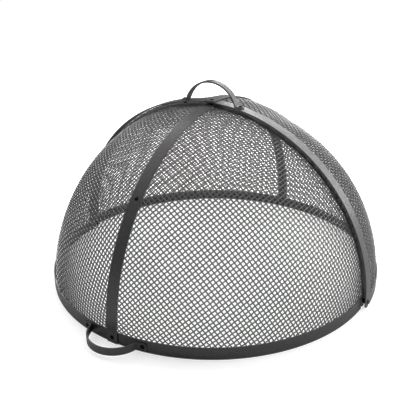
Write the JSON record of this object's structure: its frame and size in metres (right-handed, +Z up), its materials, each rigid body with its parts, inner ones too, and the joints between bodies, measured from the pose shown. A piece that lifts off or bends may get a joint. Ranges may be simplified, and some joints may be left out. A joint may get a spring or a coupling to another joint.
{
  "type": "fire pit spark screen",
  "caption": "Domed spark screen of black steel strap and woven wire mesh, whose front half swings up under the rear half.",
  "frame": {"origin": "middle of the bounding box on the ground; the dome's own centre and the pivot axis stand 19.6 mm behind it", "axes": "+Z up, the opening half faces -Y, the pivot axis runs along X"},
  "size_m": [0.9172, 0.962, 0.5228],
  "materials": {
    "strap_steel": "satin black powder coat",
    "mesh_wire": "satin black painted wire",
    "handle_bar": "satin black powder coat",
    "black_fasteners": "black oxide"
  },
  "bodies": {
    "rear_screen": {"rear_hoop": "strap_steel", "rear_base_ring": "strap_steel", "rear_centre_strap": "strap_steel", "rear_mesh_left": "mesh_wire", "rear_mesh_right": "mesh_wire", "top_handle": "handle_bar", "top_handle_bolts": "black_fasteners", "top_handle_nuts": "black_fasteners", "rear_apex_rivet": "black_fasteners", "rear_strap_rivet": "black_fasteners", "rear_strap_foot_bolt": "black_fasteners", "rear_strap_foot_nut": "black_fasteners", "pivot_bolts": "black_fasteners", "pivot_spacers": "black_fasteners", "pivot_washers": "black_fasteners", "pivot_nuts": "black_fasteners"},
    "front_screen": {"front_hoop": "strap_steel", "front_base_ring": "strap_steel", "front_centre_strap": "strap_steel", "front_mesh_left": "mesh_wire", "front_mesh_right": "mesh_wire", "lower_handle": "handle_bar", "lower_handle_bolts": "black_fasteners", "lower_handle_nuts": "black_fasteners", "front_apex_rivet": "black_fasteners", "front_strap_foot_bolt": "black_fasteners", "front_strap_foot_nut": "black_fasteners", "front_strap_bolt": "black_fasteners", "front_strap_washer": "black_fasteners", "front_strap_nut": "black_fasteners"}
  },
  "joints": [
    {"name": "front_swing", "type": "hinge", "parent": "rear_screen", "child": "front_screen", "pos_m": [0, 0.01962, 0.0155], "axis": [-1, 0, 0], "range_deg": [0, 86]}
  ]
}
